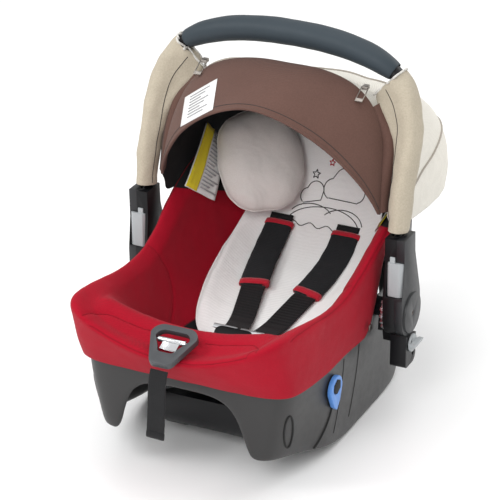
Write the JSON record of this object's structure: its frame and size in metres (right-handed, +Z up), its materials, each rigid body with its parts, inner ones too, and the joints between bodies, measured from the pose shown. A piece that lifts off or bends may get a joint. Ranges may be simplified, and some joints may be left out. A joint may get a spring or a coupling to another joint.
{
  "type": "infant car seat",
  "caption": "Rearward-facing infant car seat: rocker shell with padded cover, harness, newborn inserts, swinging carry handle with canopy, and pushchair adaptors.",
  "frame": {"origin": "centre of the bounding box at floor level", "axes": "+Y towards the head end, -Y towards the foot end, +X to the seat's own side seen on the right from the foot end, +Z up"},
  "size_m": [0.456, 0.6746, 0.5544],
  "materials": {
    "moulded_shell": "fine texture",
    "base_plastic": "warm grey, satin",
    "pan_plastic": "black",
    "steel": "bright",
    "foam": "bead foam",
    "cover_fabric": "red padded fabric",
    "cotton": "white ribbed cotton",
    "pillow_fabric": "greige cotton",
    "webbing": "black webbing",
    "pad_fabric": "charcoal, red binding",
    "buckle_plastic": "black",
    "buckle_metal": "satin",
    "red_plastic": "red",
    "bezel_plastic": "grey",
    "chrome_lever": "chrome",
    "blue_plastic": "light blue",
    "housing_plastic": "black",
    "bracket_plastic": "dark grey",
    "light_plastic": "light grey",
    "snap_metal": "dark",
    "arm_plastic": "near black",
    "hub_plastic": "grey",
    "screw_steel": "dark",
    "tube": "dark grey",
    "grip_foam": "slate foam",
    "beige_fabric": "beige canvas",
    "brown_fabric": "brown canvas",
    "cream_fabric": "cream canvas",
    "zip_metal": "satin"
  },
  "bodies": {
    "seat": {"shell": "moulded_shell", "rocker_base": "base_plastic", "belly_pan": "pan_plastic", "latch_bars": "steel", "foam_liner": "foam", "seat_cover": "cover_fabric", "body_pad": "cotton", "head_pillow": "pillow_fabric", "shoulder_strap_left": "webbing", "shoulder_strap_right": "webbing", "shoulder_pad_left": "pad_fabric", "shoulder_pad_right": "pad_fabric", "crotch_strap": "webbing", "buckle_body": "buckle_plastic", "buckle_tongues": "buckle_metal", "adjuster_bezel": "bezel_plastic", "adjuster_pin": "steel", "adjuster_strap": "webbing", "belt_guide_left": "blue_plastic", "belt_guide_right": "blue_plastic", "pivot_housing_left": "housing_plastic", "pivot_housing_right": "housing_plastic", "lock_disc_left": "steel", "lock_disc_right": "steel", "pivot_axle_left": "steel", "pivot_axle_right": "steel", "adaptor_bracket_left": "bracket_plastic", "adaptor_bracket_right": "bracket_plastic", "cover_snaps": "snap_metal"},
    "handle": {"handle_arm_left": "arm_plastic", "handle_arm_right": "arm_plastic", "hub_cover_left": "hub_plastic", "hub_cover_right": "hub_plastic", "hub_screws": "screw_steel", "handle_crossbar": "tube", "handle_grip": "grip_foam", "arm_sleeve_left": "beige_fabric", "arm_sleeve_right": "beige_fabric", "visor": "brown_fabric", "canopy": "cream_fabric", "zip_sliders": "zip_metal"},
    "button_left": {"release_button_left": "light_plastic", "button_spring_left": "steel"},
    "button_right": {"release_button_right": "light_plastic", "button_spring_right": "steel"},
    "harness_button": {"buckle_button": "red_plastic"},
    "harness_lever": {"adjuster_lever": "chrome_lever"},
    "adaptor_knob_left": {"adaptor_lever_left": "light_plastic"},
    "adaptor_knob_right": {"adaptor_lever_right": "light_plastic"},
    "zip_tag_left": {"zip_pull_left": "zip_metal"},
    "zip_tag_right": {"zip_pull_right": "zip_metal"}
  },
  "joints": [
    {"name": "handle_swing", "type": "hinge", "parent": "seat", "child": "handle", "pos_m": [0, 0.039, 0.168], "axis": [1, 0, 0], "range_deg": [-95, 35], "deforming": ["canopy", "visor"]},
    {"name": "release_button_left", "type": "slide", "parent": "handle", "child": "button_left", "axis": [0, 1, 0], "range_m": [0, 0.005], "stiffness_N_per_m": 500, "springref_m": -0.004, "deforming": ["button_spring_left"]},
    {"name": "release_button_right", "type": "slide", "parent": "handle", "child": "button_right", "axis": [0, 1, 0], "range_m": [0, 0.005], "stiffness_N_per_m": 500, "springref_m": -0.004, "deforming": ["button_spring_right"]},
    {"name": "harness_release", "type": "slide", "parent": "seat", "child": "harness_button", "axis": [0, 0.4695, -0.8829], "range_m": [0, 0.003], "stiffness_N_per_m": 600, "springref_m": -0.004},
    {"name": "adjuster_press", "type": "hinge", "parent": "seat", "child": "harness_lever", "pos_m": [0, -0.27852, 0.22137], "axis": [1, 0, 0], "range_deg": [0, 10], "stiffness_Nm_per_rad": 0.05, "springref_deg": -22.92},
    {"name": "adaptor_lever_left", "type": "hinge", "parent": "seat", "child": "adaptor_knob_left", "pos_m": [0, 0.037, 0.122], "axis": [1, 0, 0], "range_deg": [0, 60]},
    {"name": "adaptor_lever_right", "type": "hinge", "parent": "seat", "child": "adaptor_knob_right", "pos_m": [0, 0.037, 0.122], "axis": [1, 0, 0], "range_deg": [0, 60]},
    {"name": "zip_tag_swing_left", "type": "hinge", "parent": "handle", "child": "zip_tag_left", "pos_m": [0, 0.072, 0.48], "axis": [1, 0, 0], "range_deg": [-70, 0]},
    {"name": "zip_tag_swing_right", "type": "hinge", "parent": "handle", "child": "zip_tag_right", "pos_m": [0, 0.072, 0.48], "axis": [1, 0, 0], "range_deg": [-70, 0]}
  ]
}
